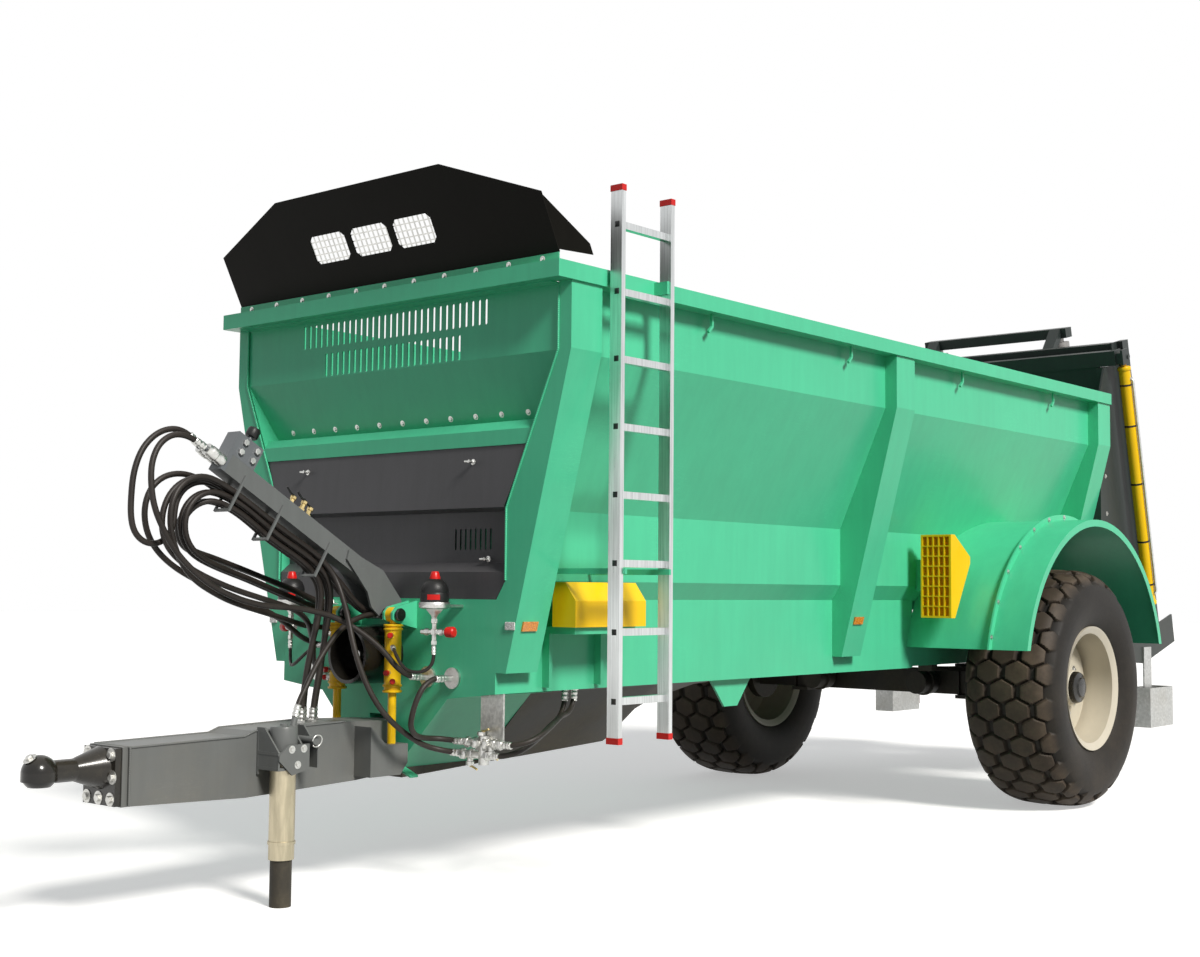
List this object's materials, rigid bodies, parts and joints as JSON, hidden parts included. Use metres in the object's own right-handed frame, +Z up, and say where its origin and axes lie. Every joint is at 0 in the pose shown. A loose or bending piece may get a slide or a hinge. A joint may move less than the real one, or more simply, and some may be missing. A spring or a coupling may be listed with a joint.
{
  "type": "manure spreader",
  "caption": "Single-axle trailed manure spreader: funnel tub with front hood and ladder, drawbar on a support leg, leaning sliding gate with cylinders and upright beaters on throwing discs",
  "frame": {"origin": "on the ground, midway along and across the machine", "axes": "+X points forward to the coupling, +Y to the left side with the ladder, +Z up"},
  "size_m": [8.6209, 2.876, 3.1766],
  "materials": {
    "green_paint": "satin turquoise green paint",
    "hood_paint": "satin dark grey paint",
    "guard_paint": "satin brown black paint",
    "zinc": "dull zinc plating",
    "grey_paint": "satin mid grey paint",
    "black_paint": "gloss black paint",
    "dark_steel": "dark primed steel",
    "rear_paint": "satin green black paint",
    "beater_steel": "worn steel",
    "yellow_paint": "satin yellow paint",
    "rod_chrome": "polished hard chrome",
    "tyre_rubber": "matte rubber",
    "rim_paint": "silver white paint",
    "ladder_aluminium": "drawn aluminium",
    "red_plastic": "moulded",
    "amber_plastic": "moulded prism",
    "hose_rubber": "matte hose rubber"
  },
  "bodies": {
    "frame": {"side_wall_left": "green_paint", "side_wall_right": "green_paint", "front_wall": "green_paint", "floor_plate": "green_paint", "scraper_floor": "dark_steel", "top_rail": "green_paint", "posts": "green_paint", "sills": "green_paint", "chassis": "green_paint", "headstock": "green_paint", "hood": "hood_paint", "splash_guard": "guard_paint", "guard_mesh": "zinc", "drawbar": "grey_paint", "coupling": "black_paint", "leg_bracket": "grey_paint", "leg_tube": "zinc", "drawbar_cylinders": "yellow_paint", "accumulators": "black_paint", "axle_beam": "dark_steel", "leaf_springs": "dark_steel", "brake_chambers": "dark_steel", "fenders": "green_paint", "wheel_arches": "green_paint", "ladder": "ladder_aluminium", "ladder_caps": "red_plastic", "ladder_brackets": "green_paint", "chocks": "yellow_paint", "chock_carriers": "green_paint", "reflectors": "amber_plastic", "rail_hooks": "green_paint", "hose_arm": "grey_paint", "valve_block": "zinc", "pto_guard": "black_paint", "pto_shaft": "zinc", "hose_ports": "zinc", "brake_couplings": "zinc", "rear_frame_left": "rear_paint", "rear_frame_right": "rear_paint", "gate_rods": "rod_chrome", "beater_beams": "rear_paint", "lamp_boxes": "zinc", "rear_lamps": "red_plastic", "hose_1": "hose_rubber", "hose_2": "hose_rubber", "hose_3": "hose_rubber", "hose_4": "hose_rubber", "hose_5": "hose_rubber"},
    "wheel_left": {"tyre_left": "tyre_rubber", "rim_left": "rim_paint"},
    "wheel_right": {"tyre_right": "tyre_rubber", "rim_right": "rim_paint"},
    "leg": {"leg_foot": "dark_steel"},
    "gate": {"gate": "rear_paint", "gate_barrels": "yellow_paint"},
    "beater_left": {"beater_left": "beater_steel"},
    "beater_right": {"beater_right": "beater_steel"}
  },
  "joints": [
    {"name": "wheel_left_spin", "type": "hinge", "parent": "frame", "child": "wheel_left", "pos_m": [-1.77144, 1.147, 0.706], "axis": [0, 1, 0], "continuous": true},
    {"name": "wheel_right_spin", "type": "hinge", "parent": "frame", "child": "wheel_right", "pos_m": [-1.77144, -1.147, 0.706], "axis": [0, 1, 0], "continuous": true},
    {"name": "leg_slide", "type": "slide", "parent": "frame", "child": "leg", "axis": [0, 0, 1], "range_m": [0, 0.35]},
    {"name": "gate_slide", "type": "slide", "parent": "frame", "child": "gate", "axis": [0.2419, 0, 0.9703], "range_m": [0, 1.4]},
    {"name": "beater_left_spin", "type": "hinge", "parent": "frame", "child": "beater_left", "pos_m": [-3.82559, 0.48, 1.32096], "axis": [0.2419, 0, 0.9703], "continuous": true},
    {"name": "beater_right_spin", "type": "hinge", "parent": "frame", "child": "beater_right", "pos_m": [-3.82559, -0.48, 1.32096], "axis": [0.2419, 0, 0.9703], "continuous": true}
  ],
  "couplings": [
    {"joint": "beater_right_spin", "follows": "beater_left_spin", "ratio": -1}
  ]
}
